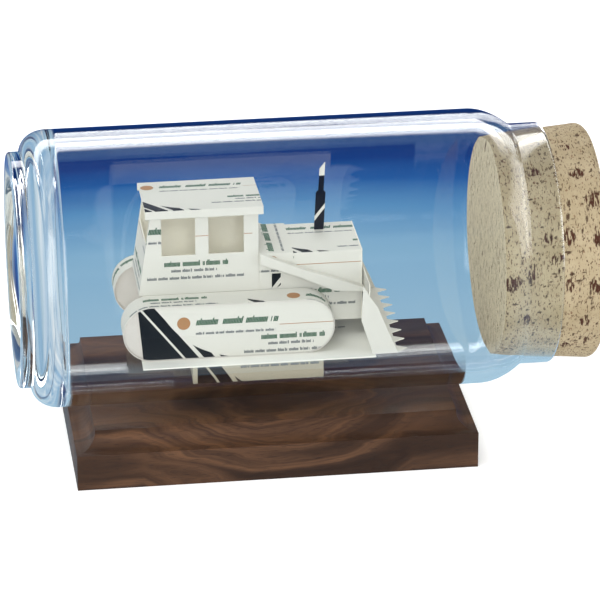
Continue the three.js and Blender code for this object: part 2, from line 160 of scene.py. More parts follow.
# The stage, in metres: the floor, and a drum round the object with its backdrop blue by height.
FLOOR_RADIUS = 3.0
FLOOR_GLOW = 0.35
DRUM_RADIUS = 0.34
DRUM_HEIGHT = 1.2
DRUM_MIDDLE = 0.1
BACKDROP_HEIGHTS = (-0.20, 0.10)
BACKDROP_BLUES = [(0.0, "a9cade"), (0.30, "9cc2dc"), (0.46, "8cb8d8"), (0.56, "6198c8"),
                  (0.64, "2961a8"), (0.72, "174088"), (1.0, "122f66")]
# Limits on the drum, in metres up and in parts of its radius along x and y. Two limits ease from
# one colour to the next; between four of them a soft light comes up and goes down again.
PALE_X = (-0.6, -0.3)
PALE_Y = (-0.1, 0.5)
PALE_TOP = (0.22, 0.34)
FRONT_Y = (-0.8, -0.55)
BEHIND_Y = (0.2, 0.7)
STRIP_LIGHT = 5.8
STRIP_HEIGHTS = (0.265, 0.285, 0.36, 0.42)
PANEL_LIGHT = 4
RIGHT_PANEL_X = (0.9, 0.94)
RIGHT_PANEL_HEIGHTS = (0.05, 0.12, 0.24, 0.34)
LEFT_PANEL_X = (-0.82, -0.7, -0.5, -0.38)
LEFT_PANEL_HEIGHTS = (0.02, 0.12, 0.34, 0.44)
WORLD_LIGHT = 0.4
# Lamps, in metres and watts: name, place, size and power.
LAMP_TARGET = (0.01, 0, 0.07)
LAMPS = [
    ("key_softbox", (-0.4, -0.4, 1.15), (0.7, 0.7), 6.6),
    ("front_softbox", (-0.15, -1.2, 0.62), (0.5, 0.5), 7.3),
    ("back_softbox", (0.05, 0.95, 0.50), (1.6, 0.30), 9),
    ("right_softbox", (0.9, -0.7, 0.35), (0.25, 0.8), 2.5),
]

CAMERA_TARGET = Vector((15.43, 0, 56.62))
CAMERA_AZIMUTH = -7.705
CAMERA_ELEVATION = 24.094
CAMERA_DISTANCE = 1629.95
CAMERA_LENS = 235.5


# ------------------------ node arithmetic

class Value:
    """A number in a node tree, combined with others by ordinary arithmetic."""

    def __init__(self, tree, socket):
        self.tree = tree
        self.socket = socket

    def math(self, operation, *others):
        node = self.tree.nodes.new("ShaderNodeMath")
        node.operation = operation
        for slot, operand in zip(node.inputs, (self, *others)):
            plug(self.tree, slot, operand)
        return Value(self.tree, node.outputs[0])

    def __add__(self, other):
        return self.math("ADD", other)

    def __sub__(self, other):
        return self.math("SUBTRACT", other)

    def __mul__(self, other):
        return self.math("MULTIPLY", other)

    def __truediv__(self, other):
        return self.math("DIVIDE", other)

    def __pow__(self, other):
        return self.math("POWER", other)

    def above(self, edge):
        return self.math("GREATER_THAN", edge)

    def below(self, edge):
        return self.math("LESS_THAN", edge)

    def between(self, low, high):
        return self.above(low) * self.below(high)

    def either(self, other):
        return self.math("MAXIMUM", other)

    def inverse(self):
        return (self * -1) + 1

    def ease(self, low, high):
        """0 below low, 1 above high and a smooth step between them."""
        node = self.tree.nodes.new("ShaderNodeMapRange")
        node.interpolation_type = "SMOOTHSTEP"
        plug(self.tree, node.inputs[0], self)
        node.inputs[1].default_value = low
        node.inputs[2].default_value = high
        return Value(self.tree, node.outputs[0])

    def window(self, outer_low, inner_low, inner_high, outer_high):
        """1 between the inner limits, easing to 0 at the outer ones."""
        return self.ease(outer_low, inner_low) * self.ease(inner_high, outer_high).inverse()


def plug(tree, slot, operand):
    """Links a Value or a socket to an input, or writes a constant into it."""
    if isinstance(operand, Value):
        tree.links.new(operand.socket, slot)
    elif isinstance(operand, bpy.types.NodeSocket):
        tree.links.new(operand, slot)
    else:
        slot.default_value = operand


def add_node(tree, kind, output=0, settings=None, **inputs):
    """A node with its inputs filled in by name, given as the socket that it puts out."""
    node = tree.nodes.new(kind)
    for name, value in (settings or {}).items():
        setattr(node, name, value)
    for name, operand in inputs.items():
        plug(tree, node.inputs[name.replace("_", " ")], operand)
    return node.outputs[output]


def rgb(code):
    """Linear colour of a hex code such as 4a372d."""
    channels = [int(code[i:i + 2], 16) / 255 for i in (0, 2, 4)]
    linear = [c / 12.92 if c <= 0.04045 else ((c + 0.055) / 1.055) ** 2.4 for c in channels]
    return (*linear, 1)


def mix_colour(tree, factor, a, b):
    node = tree.nodes.new("ShaderNodeMix")
    node.data_type = "RGBA"
    plug(tree, node.inputs[0], factor)
    plug(tree, node.inputs[6], a)
    plug(tree, node.inputs[7], b)
    return node.outputs[2]


def layered(tree, colour, *layers):
    """The colour with others laid over it in turn, each given as its amount and hex code."""
    for amount, code in layers:
        colour = mix_colour(tree, amount, colour, rgb(code))
    return colour


def stretched(tree, source, scale):
    """The source vector scaled along each axis."""
    return add_node(tree, "ShaderNodeMapping", Vector=source, Scale=scale)


def noise_value(tree, vector, scale=1.0, detail=2.0, roughness=0.5):
    return Value(tree, add_node(tree, "ShaderNodeTexNoise", Vector=vector, Scale=scale,
                                Detail=detail, Roughness=roughness))


def random_value(tree, seed):
    """A random number from 0 to 1 that depends only on the seed value."""
    return Value(tree, add_node(
        tree, "ShaderNodeTexWhiteNoise", settings={"noise_dimensions": "1D"}, W=seed))


def new_material(name, kind="ShaderNodeBsdfPrincipled"):
    """An empty node material with its tree, its shader and its output."""
    material = bpy.data.materials.new(name)
    material.use_nodes = True
    tree = material.node_tree
    tree.nodes.clear()
    shader = tree.nodes.new(kind)
    output = tree.nodes.new("ShaderNodeOutputMaterial")
    tree.links.new(shader.outputs[0], output.inputs[0])
    return material, tree, shader, output


def bump(tree, shader, height, distance, strength):
    """Fine relief; the distance is in metres."""
    tree.links.new(add_node(tree, "ShaderNodeBump", Height=height, Distance=distance,
                            Strength=strength), shader.inputs["Normal"])


def object_coordinates(tree):
    """Position on the piece in millimetres: every piece's own origin is the frame's origin."""
    source = tree.nodes.new("ShaderNodeTexCoord").outputs["Object"]
    return stretched(tree, source, (1 / MM, 1 / MM, 1 / MM))


def split(tree, vector):
    node = tree.nodes.new("ShaderNodeSeparateXYZ")
    plug(tree, node.inputs[0], vector)
    return [Value(tree, node.outputs[i]) for i in range(3)]


# ------------------------ card print

STACK_WHITE = rgb("e4e1d8")
INK_GREEN = rgb("0f5232")
INK_DEEP = rgb("1c5636")
INK_GREY = rgb("62676a")
INK_TAN = rgb("ad7f56")
INK_BLACK = rgb("0e1015")
# Lines of type as blank strokes, in millimetres on a card of 88.9 x 50.8: left end, right end,
# foot, height, slant, seed and colour.
TYPE_LINES = [
    (23.1, 56.7, 24.9, 3.0, 0.25, 11, INK_GREEN),
    (49.3, 76.0, 10.6, 2.4, 0.0, 23, INK_DEEP),
    (52.7, 71.6, 8.1, 1.35, 0.0, 37, INK_GREY),
    (42.8, 82.5, 5.0, 1.35, 0.0, 41, INK_GREY),
    (23.1, 55.8, 20.8, 1.2, 0.0, 53, INK_GREY),
]
# Where the loader frame's origin lies on each piece's card, along the card and up it. For the
# roof and the pedestal it is the piece's own low corner.
CARD_PLACES = {
    "cab_near_wall": (92.9, -24.9),
    "cab_far_wall": (34.5, -24.9),
    "cab_rear_wall": (62, -20.4),
    "cab_front_wall": (62, -24.9),
    "radiator_panel": (62, -9.9),
    "track_face_above_seam": (54.8, 10.4),
    "track_face_below_seam": (54.8, 3.6),
    "track_band": (9.4, 21.5),
    "near_track_band_left": (102.3, 4.5),
    "far_track_band_left": (102.3, 21.5),
    "track_band_underside": (140, 60),
    "hood_top": (14.1, 16.7),
    "hood_near_flap": (47, -9.9),
    "hood_far_flap": (60, -9.9),
    "cowl_strip": (37, 27.1),
    "floor_plate": (50, 11.5),
    "cab_roof": (15, -1.3),
    "pedestal": (3.6, 16),
}
# The same for the black wedge. A level piece is measured across from its near edge.
WEDGE_PLACES = {
    "track_face": (55, 0),
    "track_band": (33.5, 1.5),
    "cab_roof": (15.3, 0),
    "hood_top": (13.4, 0),
    "hood_flap": (19, 30),
    "pedestal": (5.1, 4.4),
}
# Strokes and words of a line of type, as parts of its height, and how much of each is inked.
STROKE_PERIOD = 0.21
STROKE_DUTY = 0.84
WORD_PERIOD = 3.4
WORD_DUTY = 0.87
# The tan disc as centre and radius, and the tan rule as left end, right end, foot and top.
EMBLEM = (18.3, 26.0, 2.7)
RULE = (57.5, 86, 23.3, 23.6)
# The black wedge falls away from the card's left edge along a curve, crossed by slanted stripes.
WEDGE_RISE = 46
WEDGE_REACH = 13
WEDGE_DROP = 2.2
WEDGE_SLOPE = 0.8
WEDGE_STRIPES = [(18.5, 19.6), (25, 27), (31.5, 34)]
# A place on neither map, for faces that carry no print.
FAR_AWAY = (-500, -500)


def type_line(tree, u, v, left, right, foot, height, slant, seed):
    """Ink of one line of blank type: words made of fine upright strokes, with no letters.

    One stroke in five is taller than the others and one in twenty is left out.
    """
    along = u - (v - foot) * slant
    place = along / (height * STROKE_PERIOD)
    chance = random_value(tree, place.math("FLOOR") + seed)
    top = chance.above(0.8) * (height * 0.25) + (foot + height * 0.75)
    inside = along.between(left, right) * v.above(foot) * v.below(top)
    stroke = chance.above(0.05) * place.math("FRACT").below(STROKE_DUTY)
    word = ((along - left) / (height * WORD_PERIOD)).math("FRACT").below(WORD_DUTY)
    return inside * stroke * word


def print_on_card(tree, paper):
    """Colour of the printed face of a card, read from the two UV maps card and wedge."""
    u, v, _ = split(tree, add_node(tree, "ShaderNodeUVMap", settings={"uv_map": "card"}))
    colour = rgb(paper)
    for *line, ink in TYPE_LINES:
        colour = mix_colour(tree, type_line(tree, u, v, *line), colour, ink)
    rule = u.between(*RULE[:2]) * v.between(*RULE[2:])
    cx, cy, radius = EMBLEM
    disc = ((u - cx) ** 2 + (v - cy) ** 2).below(radius ** 2)
    colour = mix_colour(tree, rule.either(disc), colour, INK_TAN)

    u, v, _ = split(tree, add_node(tree, "ShaderNodeUVMap", settings={"uv_map": "wedge"}))
    edge = (u / -WEDGE_REACH).math("EXPONENT") * WEDGE_RISE - WEDGE_DROP
    black = (edge - v).above(0) * u.above(0) * v.above(0)
    slope = v * WEDGE_SLOPE + u
    for low, high in WEDGE_STRIPES:
        black = black * slope.between(low, high).inverse()
    return mix_colour(tree, black, colour, INK_BLACK)


def paper_fibre(tree, shader):
    """Gives the shader the relief of card and returns its fine and its broad unevenness."""
    spot = object_coordinates(tree)
    fine = noise_value(tree, spot, scale=2.6, detail=5, roughness=0.65)
    broad = noise_value(tree, spot, scale=0.06, detail=2)
    bump(tree, shader, fine + broad * 6, 0.00003, 0.5)
    return fine, broad


def printed_card_material(name, paper):
    material, tree, shader, _ = new_material(name)
    fine, broad = paper_fibre(tree, shader)
    colour = print_on_card(tree, paper)
    shade = (fine * 0.05 + broad * 0.05) + 0.94
    tinted = add_node(tree, "ShaderNodeHueSaturation", Value=shade, Color=colour)
    plug(tree, shader.inputs["Base Color"], tinted)
    shader.inputs["Roughness"].default_value = 0.55
    shader.inputs["Specular IOR Level"].default_value = 0.35
    return material


def plain_card_material(name, light, dark):
    material, tree, shader, _ = new_material(name)
    fine, broad = paper_fibre(tree, shader)
    plug(tree, shader.inputs["Base Color"],
         mix_colour(tree, (fine + broad).ease(0.7, 1.3), rgb(dark), rgb(light)))
    shader.inputs["Roughness"].default_value = 0.65
    shader.inputs["Specular IOR Level"].default_value = 0.3
    return material


def stack_material():
    """Black card with a white tip and one slanted white stripe."""
    low, high = node_box("exhaust_stack")
    material, tree, shader, _ = new_material("striped_black_card")
    paper_fibre(tree, shader)
    x, _, z = split(tree, object_coordinates(tree))
    tip = z.above(high.z - STACK_TIP)
    stripe = (z - low.z) - (x - low.x) * STACK_STRIPE_SLOPE - STACK_STRIPE_H
    stripe = stripe.between(-STACK_STRIPE_WIDTH / 2, STACK_STRIPE_WIDTH / 2)
    plug(tree, shader.inputs["Base Color"],
         mix_colour(tree, tip.either(stripe), INK_BLACK, STACK_WHITE))
    shader.inputs["Roughness"].default_value = 0.5
    return material


# ------------------------ card pieces

def cad_mesh(node):
    """The CAD node's mesh with shared corners merged and flat areas made into single faces."""
    mesh = bmesh.new()
    mesh.from_mesh(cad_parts[node].data)
    bmesh.ops.remove_doubles(mesh, verts=mesh.verts, dist=1e-6)
    bmesh.ops.dissolve_limit(mesh, angle_limit=math.radians(0.6), verts=mesh.verts,
                             edges=mesh.edges)
    return mesh


def loader_box(node):
    """Lowest and highest corner of a CAD node in the loader's own frame."""
    low, high = node_box(node)
    return low - MACHINE, high - MACHINE


def is_cut_face(face):
    """True for the narrow faces where the card was cut: one side is the card's thickness."""
    return min(edge.calc_length() for edge in face.edges) < 1.4 * CARD * MM


def edges_over(mesh, degrees):
    """The edges at which two faces meet and turn by more than this angle."""
    return [edge for edge in mesh.edges if edge.calc_face_angle(0) > math.radians(degrees)]


def bevel(mesh, edges, width, segments):
    bmesh.ops.bevel(mesh, geom=edges, offset=width * MM, segments=segments, profile=0.5,
                    affect="EDGES", clamp_overlap=True)


def round_folds(mesh):
    """Rounds the folds and takes the sharpness off the cut edges."""
    broad = {face for face in mesh.faces if not is_cut_face(face)}
    folds = [edge for edge in edges_over(mesh, FOLD_ANGLE) if broad.issuperset(edge.link_faces)]
    convex = [edge for edge in folds if edge.is_convex]
    concave = [edge for edge in folds if not edge.is_convex]
    for edges, radius in ((convex, FOLD_RADIUS), (concave, FOLD_RADIUS - CARD)):
        alive = [edge for edge in edges if edge.is_valid]
        if alive:
            bevel(mesh, alive, radius, segments=4)
    bevel(mesh, edges_over(mesh, SHARP_ANGLE), CUT_SOFTENING, segments=1)


def split_at(mesh, point, normal):
    bmesh.ops.bisect_plane(mesh, geom=[*mesh.verts, *mesh.edges, *mesh.faces],
                           plane_co=point * MM, plane_no=normal, dist=1e-7)


def mesh_object(mesh, name):
    """An object in the scene made from a bmesh, which is used up."""
    data = bpy.data.meshes.new(name)
    mesh.to_mesh(data)
    mesh.free()
    made = bpy.data.objects.new(name, data)
    bpy.context.scene.collection.objects.link(made)
    return made


def finish_piece(mesh, name, node, body, materials, smooth_angle=30):
    """Turns a bmesh into a piece that stands for a CAD node and rides on its body."""
    piece = mesh_object(mesh, name)
    for material in materials:
        piece.data.materials.append(material)
    piece.data.shade_smooth()
    piece.data.set_sharp_from_angle(angle=math.radians(smooth_angle))
    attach(piece, body)
    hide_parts(node)
    return piece


def lay_on_card(mesh, layout, printed, wedge):
    """Gives each face its place on the card and its side: 0 for printed, 1 for plain."""
    card = mesh.loops.layers.uv.new("card")
    wedge_map = mesh.loops.layers.uv.new("wedge")
    for face in mesh.faces:
        centre = face.calc_center_median() / MM - MACHINE
        face.material_index = 0 if printed(centre, face.normal) else 1
        for loop in face.loops:
            at = loop.vert.co / MM - MACHINE
            loop[card].uv = layout(at, face.normal, centre)
            loop[wedge_map].uv = wedge(at, face.normal, centre) if wedge else FAR_AWAY


def card_piece(node, layout=None, printed=None, wedge=None, seams=(),
               plain=None, face=None):
    """A folded or flat card piece shaped from its CAD node."""
    mesh = cad_mesh(node)
    round_folds(mesh)
    for seam in seams:
        split_at(mesh, *seam)
    mesh.normal_update()
    if layout:
        lay_on_card(mesh, layout, printed, wedge)
        # The unprinted side takes the lightened plain paper, which is partly painted light.
        materials = [face or PRINTED, plain or PLAIN_BACK_PAINTED_LIGHT]
    else:
        materials = [plain or PLAIN_BACK_PAINTED_LIGHT]
    return finish_piece(mesh, node + "_card", node, "jar", materials)


def placed(places, piece, along, up):
    """The point on a map that lies this far along and up from the piece's origin there."""
    x, y = places[piece]
    return along + x, up + y


def standing(node, axis=0, sign=1):
    """Layout of an upright wall: it runs along one axis of the loader and up."""
    return lambda at, normal, centre: placed(CARD_PLACES, node, at[axis] * sign, at.z)


def blank(at, normal, centre):
    """Layout of a card piece without print."""
    return FAR_AWAY


def facing(axis, sign):
    """Tells a face that looks along one axis."""
    return lambda centre, normal: normal[axis] * sign > FACING


def looking_along(axis):
    """Tells both broad faces of a flat card from its cut edges."""
    return lambda centre, normal: abs(normal[axis]) > BROAD_FACE


def is_flap(normal):
    """Tells the upright side flap of a folded card from its top."""
    return abs(normal.y) > SIDE_FLAP


def outward_of(top):
    """Tells the outer faces of a box-like fold that is open underneath."""
    def test(centre, normal):
        from_inside = Vector((0, centre.y, centre.z - (top - FOLD_INSIDE)))
        return normal.dot(from_inside) > 0 and abs(normal.x) < FOLD_END
    return test


# ------------------------ bodies of revolution

def arc(cx, cy, rx, ry, start, end, steps):
    """Points along an arc of an ellipse, from start to end in degrees, both ends included."""
    angles = [math.radians(start + (end - start) * i / steps) for i in range(steps + 1)]
    return [(cx + rx * math.cos(a), cy + ry * math.sin(a)) for a in angles]


def bezier(p0, p1, p2, steps):
    points = []
    for i in range(steps + 1):
        t = i / steps
        points.append(tuple((1 - t) ** 2 * a + 2 * t * (1 - t) * b + t * t * c
                            for a, b, c in zip(p0, p1, p2)))
    return points


def resampled(profile, step):
    """The profile with extra points so that no side is longer than step."""
    points = [profile[0]]
    for (x0, r0), (x1, r1) in zip(profile, profile[1:]):
        count = max(1, math.ceil(math.hypot(x1 - x0, r1 - r0) / step))
        points += [(x0 + (x1 - x0) * i / count, r0 + (r1 - r0) * i / count)
                   for i in range(1, count + 1)]
    return points


def join_rings(mesh, a, b):
    """Faces between two rings of as many points each, or between a ring and a single point."""
    count = max(len(a), len(b))
    for i in range(count):
        j = (i + 1) % count
        corners = [a[i % len(a)], a[j % len(a)], b[j % len(b)], b[i % len(b)]]
        mesh.faces.new(list(dict.fromkeys(corners)))


def lathe(profile, segments):
    """A closed body about the jar's axis; the profile's first and last points lie on the axis."""
    mesh = bmesh.new()
    rings = []
    for x, radius in profile:
        count = segments if radius > 1e-6 else 1
        ring = []
        for i in range(count):
            a = 2 * math.pi * i / segments
            ring.append(mesh.verts.new((x * MM, radius * math.sin(a) * MM,
                                        (AXIS_Z + radius * math.cos(a)) * MM)))
        rings.append(ring)
    for a, b in zip(rings, rings[1:]):
        join_rings(mesh, a, b)
    bmesh.ops.recalc_face_normals(mesh, faces=mesh.faces)
    return mesh


# ------------------------ glass jar

def glass_material():
    """Clear glass. Shadow and diffuse rays pass straight through, so the lamps reach inside, and
    so do rays that have already bounced about in the glass, which would otherwise end black."""
    material, tree, shader, output = new_material("clear_glass")
    shader.inputs["Base Color"].default_value = (0.97, 0.985, 0.985, 1)
    shader.inputs["Roughness"].default_value = 0.0
    shader.inputs["IOR"].default_value = GLASS_IOR
    shader.inputs["Transmission Weight"].default_value = 1.0
    ripple = noise_value(tree, stretched(tree, object_coordinates(tree), (0.004, 0.03, 0.03)),
                         scale=1.0, detail=2)
    bump(tree, shader, ripple, 0.0012, 0.15)
    rays = tree.nodes.new("ShaderNodeLightPath")
    soft = Value(tree, rays.outputs["Is Shadow Ray"]).either(
        Value(tree, rays.outputs["Is Diffuse Ray"]))
    soft = soft.either(Value(tree, rays.outputs["Glossy Depth"]).above(LAST_REFLECTION))
    soft = soft.either(Value(tree, rays.outputs["Transmission Depth"]).above(LAST_REFRACTION))
    clear = add_node(tree, "ShaderNodeBsdfTransparent", Color=(0.93, 0.95, 0.95, 1))
    mixed = tree.nodes.new("ShaderNodeMixShader")
    plug(tree, mixed.inputs[0], soft)
    plug(tree, mixed.inputs[1], shader.outputs[0])
    plug(tree, mixed.inputs[2], clear)
    plug(tree, output.inputs[0], mixed.outputs[0])
    return material


def build_jar():
    """Dished bottom, foot ring, heel, wall, shoulder, neck and rim, then back down the bore."""
    inner = JAR_RADIUS - JAR_WALL
    heel = JAR_RADIUS - HEEL_DROP
    bottom = FOOT_X + PUNT_DEPTH
    profile = [
        (bottom - 0.6, 0),
        (bottom - 0.2, heel - 24),
        *arc(bottom, heel - FOOT_WIDTH, PUNT_DEPTH, FOOT_SLOPE, 270, 180, 12),
        *arc(FOOT_X + FOOT_ROUNDING, heel - FOOT_ROUNDING, FOOT_ROUNDING, FOOT_ROUNDING,
             180, 90, 8)[1:],
        (bottom - 0.9, heel),
        *arc(HEEL_X, heel, HEEL_X - bottom, HEEL_DROP, 180, 90, 20),
        *bezier((SHOULDER_X, JAR_RADIUS), (SHOULDER_X + SHOULDER_PULL, JAR_RADIUS),
                (NECK_X, NECK_RADIUS), 18),
        *arc(MOUTH_X - RIM_RADIUS, NECK_RADIUS - RIM_RADIUS, RIM_RADIUS, RIM_RADIUS, 90, -90, 12),
        (MOUTH_X - 2, NECK_BORE),
        *bezier((NECK_X - 1.8, NECK_BORE), (NECK_X - 9, inner), (SHOULDER_X - 0.9, inner), 16),
        *arc(INNER_FLOOR_X + INNER_CORNER, inner - INNER_CORNER, INNER_CORNER, INNER_CORNER,
             90, 180, 14),
        (INNER_FLOOR_X + 0.3, 0),
    ]
    return finish_piece(lathe(profile, JAR_SEGMENTS), "jar_glass", "glass_jar", "jar",
                        [glass_material()], smooth_angle=60)


# ------------------------ cork

def place_on_cork(x, radius, angle):
    """The angle runs from the viewer's side up over the top."""
    return (x, -radius * math.cos(angle), AXIS_Z + radius * math.sin(angle))


def cork_pits():
    """Seeded pits: centre, the directions of the two half axes, their lengths and the depth."""
    chance = np.random.default_rng(7)
    length = CORK_HIGH.x - CORK_LOW.x
    pits = []
    for _ in range(CORK_SIDE_PITS):
        along = chance.uniform(0.5, length - 0.5)
        angle = chance.uniform(0, 2 * math.pi)
        radius = CORK_INNER_RADIUS + (CORK_OUTER_RADIUS - CORK_INNER_RADIUS) * along / length
        centre = place_on_cork(CORK_LOW.x + along, radius, angle)
        lying = chance.random() < 0.3
        along_axis = (1, 0, 0)
        around = (0, math.sin(angle), math.cos(angle))
        major, minor = (along_axis, around) if lying else (around, along_axis)
        size = 0.2 + 0.45 * chance.random() ** 3
        pits.append((centre, major, minor, size * chance.uniform(1.0, 3.4), size,
                     chance.uniform(0.3, 1.0)))
    for x in (CORK_LOW.x, CORK_HIGH.x):
        for _ in range(CORK_END_PITS):
            radius = 44 * math.sqrt(chance.random())
            angle = chance.uniform(0, 2 * math.pi)
            centre = place_on_cork(x, radius, angle)
            size = 0.12 + 0.2 * chance.random() ** 2
            pits.append((centre, (0, 0, 1), (0, 1, 0), size * chance.uniform(3.0, 9.0), size,
                         chance.uniform(0.3, 1.0)))
    return pits


def pit_depths(place):
    """How deep the pits are at each place, from 0 to 1."""
    tree = KDTree(len(place))
    for index, at in enumerate(place):
        tree.insert(at, index)
    tree.balance()
    pit = np.zeros(len(place))
    for centre, major, minor, long, wide, depth in cork_pits():
        near = [index for _, index, _ in tree.find_range(centre, (PIT_SPREAD + 0.05) * long)]
        offset = place[near] - centre
        a = offset @ np.array(major) / long
        b = offset @ np.array(minor) / wide
        inside = np.clip(PIT_SPREAD - np.sqrt(a * a + b * b), 0, 1)
        pit[near] = np.maximum(pit[near], inside * depth)
    return pit


def bark_amounts(place):
    """How much bark is left at each place on the cork's side, from 0 to 1."""
    bark = np.zeros(len(place))
    angle = np.degrees(np.arctan2(place[:, 2] - AXIS_Z, -place[:, 1])) % 360
    side = np.hypot(place[:, 1], place[:, 2] - AXIS_Z) > CORK_INNER_RADIUS - 0.4
    for along, at, long, wide in BARK_SPOTS:
        a = (place[:, 0] - CORK_LOW.x - along) / wide
        b = ((angle - at + 180) % 360 - 180) * math.radians(1) * CORK_OUTER_RADIUS / long
        bark = np.maximum(bark, np.clip(BARK_SPREAD - np.sqrt(a * a + b * b), 0, 1) * side)
    return bark


def cork_material():
    material, tree, shader, _ = new_material("natural_cork")
    spot = object_coordinates(tree)
    pit, bark = [Value(tree, add_node(tree, "ShaderNodeAttribute", 2,
                                      settings={"attribute_name": name}))
                 for name in ("pit", "bark")]
    broad = noise_value(tree, stretched(tree, spot, (0.05, 0.12, 0.12)), detail=3)
    band = noise_value(tree, stretched(tree, spot, (0.5, 0.03, 0.03)), detail=2)
    grain = noise_value(tree, spot, scale=1.6, detail=6, roughness=0.7)
    fleck = noise_value(tree, spot, scale=0.75, detail=5, roughness=0.65).ease(0.6, 0.66)
    dashes = noise_value(tree, stretched(tree, spot, (1.9, 0.6, 0.6)), detail=4).ease(0.57, 0.63)
    upright = noise_value(tree, stretched(tree, spot, (0.3, 2.0, 0.22)), detail=3).ease(0.58, 0.62)
    normal = tree.nodes.new("ShaderNodeNewGeometry").outputs["Normal"]
    end_face = split(tree, normal)[0].math("ABSOLUTE").above(0.8)
    dust = dashes * end_face.inverse() + upright * end_face
    streak = noise_value(tree, stretched(tree, spot, (1.5, 0.3, 0.3)), detail=5)
    ragged = noise_value(tree, stretched(tree, spot, (0.7, 0.3, 0.3)), detail=4, roughness=0.6)
    brown = (bark + ragged * 2.2 - 1.35).ease(0.0, 0.25) * bark.above(0.01)
    brown = brown * streak.ease(0.43, 0.53)
    dark = pit * grain.ease(0.25, 0.5)
    plug(tree, shader.inputs["Base Color"], layered(
        tree, rgb("a79778"),
        (broad.ease(0.3, 0.7), "b6a688"),
        (band.ease(0.45, 0.75) * 0.4, "b9ab8c"),
        (grain.ease(0.42, 0.7) * 0.45, "a59577"),
        # Painted light: the end faces are laid over with a lighter colour that stands in for light
        # falling on them.
        (end_face * 0.8, "e4d6b8"),
        (dust * 0.85, "503826"),
        (fleck * 0.75, "74503a"),
        (brown, "4a2c20"),
        (dark.ease(0.1, 0.6) * 0.9, "3f281c")))
    shader.inputs["Roughness"].default_value = 0.85
    shader.inputs["Specular IOR Level"].default_value = 0.25
    bump(tree, shader, grain - pit * 0.8 - brown * 0.4, 0.0004, 0.6)
    return material


def build_cork():
    taper = (CORK_OUTER_RADIUS - CORK_INNER_RADIUS) / (CORK_HIGH.x - CORK_LOW.x)
    edge_x = CORK_HIGH.x - CORK_EDGE
    edge_r = CORK_OUTER_RADIUS - taper * CORK_EDGE
    outline = [
        (CORK_LOW.x, 0),
        (CORK_LOW.x, CORK_INNER_RADIUS - CORK_INNER_EDGE),
        *arc(CORK_LOW.x + CORK_INNER_EDGE, CORK_INNER_RADIUS - CORK_INNER_EDGE,
             CORK_INNER_EDGE, CORK_INNER_EDGE, 180, 90, 4)[1:],
        *arc(edge_x, edge_r - CORK_EDGE, CORK_EDGE, CORK_EDGE, 90, 0, 8),
        (CORK_HIGH.x, 0),
    ]
    mesh = lathe(resampled(outline, CORK_STEP), CORK_SEGMENTS)
    mesh.normal_update()
    place = np.array([v.co for v in mesh.verts]) / MM
    pit = pit_depths(place)
    bark = bark_amounts(place)
    pit_layer = mesh.verts.layers.float.new("pit")
    bark_layer = mesh.verts.layers.float.new("bark")
    for vertex, depth, brown in zip(mesh.verts, pit, bark):
        vertex[pit_layer] = depth
        vertex[bark_layer] = brown
        vertex.co -= vertex.normal * (CORK_PIT_DEPTH * depth + BARK_DEPTH * brown) * MM
    return finish_piece(mesh, "cork_bung", "cork_stopper", "cork", [cork_material()],
                        smooth_angle=60)


# ------------------------ walnut base

def walnut_material():
    """Growth rings about a long axis that sags in the middle: a wide U of dark figure."""
    material, tree, shader, _ = new_material("oiled_walnut")
    spot = object_coordinates(tree)
    x, y, z = split(tree, spot)
    wander = noise_value(tree, stretched(tree, spot, (0.012, 0.05, 0.05)), detail=4)
    sag = (x * x * -0.0085).math("MAXIMUM", -26.0)
    across = (y * 0.35 + 40) + wander * 12
    up = z * 1.25 + wander * 15 + sag - x * 0.03
    ring = (across * across + up * up) ** 0.5

    def ring_noise(through, along, third, detail, roughness=0.5):
        place = add_node(tree, "ShaderNodeCombineXYZ", X=ring * through, Y=x * along, Z=third)
        return noise_value(tree, place, detail=detail, roughness=roughness)

    streak = ring_noise(0.36, 0.006, 0.0, detail=5, roughness=0.62)
    broad = ring_noise(0.13, 0.008, 3.0, detail=3)
    fine = ring_noise(2.2, 0.05, y * 0.2, detail=3)
    pores = noise_value(tree, stretched(tree, spot, (0.22, 2.6, 2.6)), detail=3,
                        roughness=0.6).ease(0.54, 0.68)
    plug(tree, shader.inputs["Base Color"], layered(
        tree, rgb("35241b"),
        (streak.ease(0.3, 0.7), "704e35"),
        (streak.ease(0.6, 0.76) * 0.4, "6f5031"),
        (broad.ease(0.47, 0.63) * 0.7, "2d1e16"),
        (fine.ease(0.4, 0.7) * 0.35, "3a2a22"),
        (pores * 0.5, "211712")))
    shader.inputs["Roughness"].default_value = 0.5
    shader.inputs["Specular IOR Level"].default_value = 0.3
    shader.inputs["Coat Weight"].default_value = 0.05
    shader.inputs["Coat Roughness"].default_value = 0.35
    bump(tree, shader, pores * -1 + fine * 0.3, 0.00012, 0.5)
    return material


def build_base():
    """Stacked rectangles along the moulding, with the jar's channel cut out of the top."""
    profile = [
        (0.0, 0.0),
        (0.0, PLINTH_HEIGHT),
        *[(COVE_LEDGE + COVE_RADIUS - x, z) for x, z in
          arc(COVE_RADIUS, PLINTH_HEIGHT + COVE_RADIUS, COVE_RADIUS, COVE_RADIUS, 270, 180, 18)],
        (COVE_LEDGE + COVE_RADIUS, BASE_HIGH.z),
    ]
    mesh = bmesh.new()
    rings = []
    for inset, z in profile:
        x = BASE_HIGH.x - inset
        y = BASE_HIGH.y - inset
        rings.append([mesh.verts.new((sx * x * MM, sy * y * MM, z * MM))
                      for sx, sy in ((-1, -1), (1, -1), (1, 1), (-1, 1))])
    for a, b in zip(rings, rings[1:]):
        join_rings(mesh, a, b)
    mesh.faces.new(list(reversed(rings[0])))
    mesh.faces.new(rings[-1])
    bmesh.ops.recalc_face_normals(mesh, faces=mesh.faces)
    piece = finish_piece(mesh, "base_moulding", "walnut_base", "base",
                         [walnut_material()])
    cut_channel(piece)
    soften_edges(piece, ARRIS)
    return piece


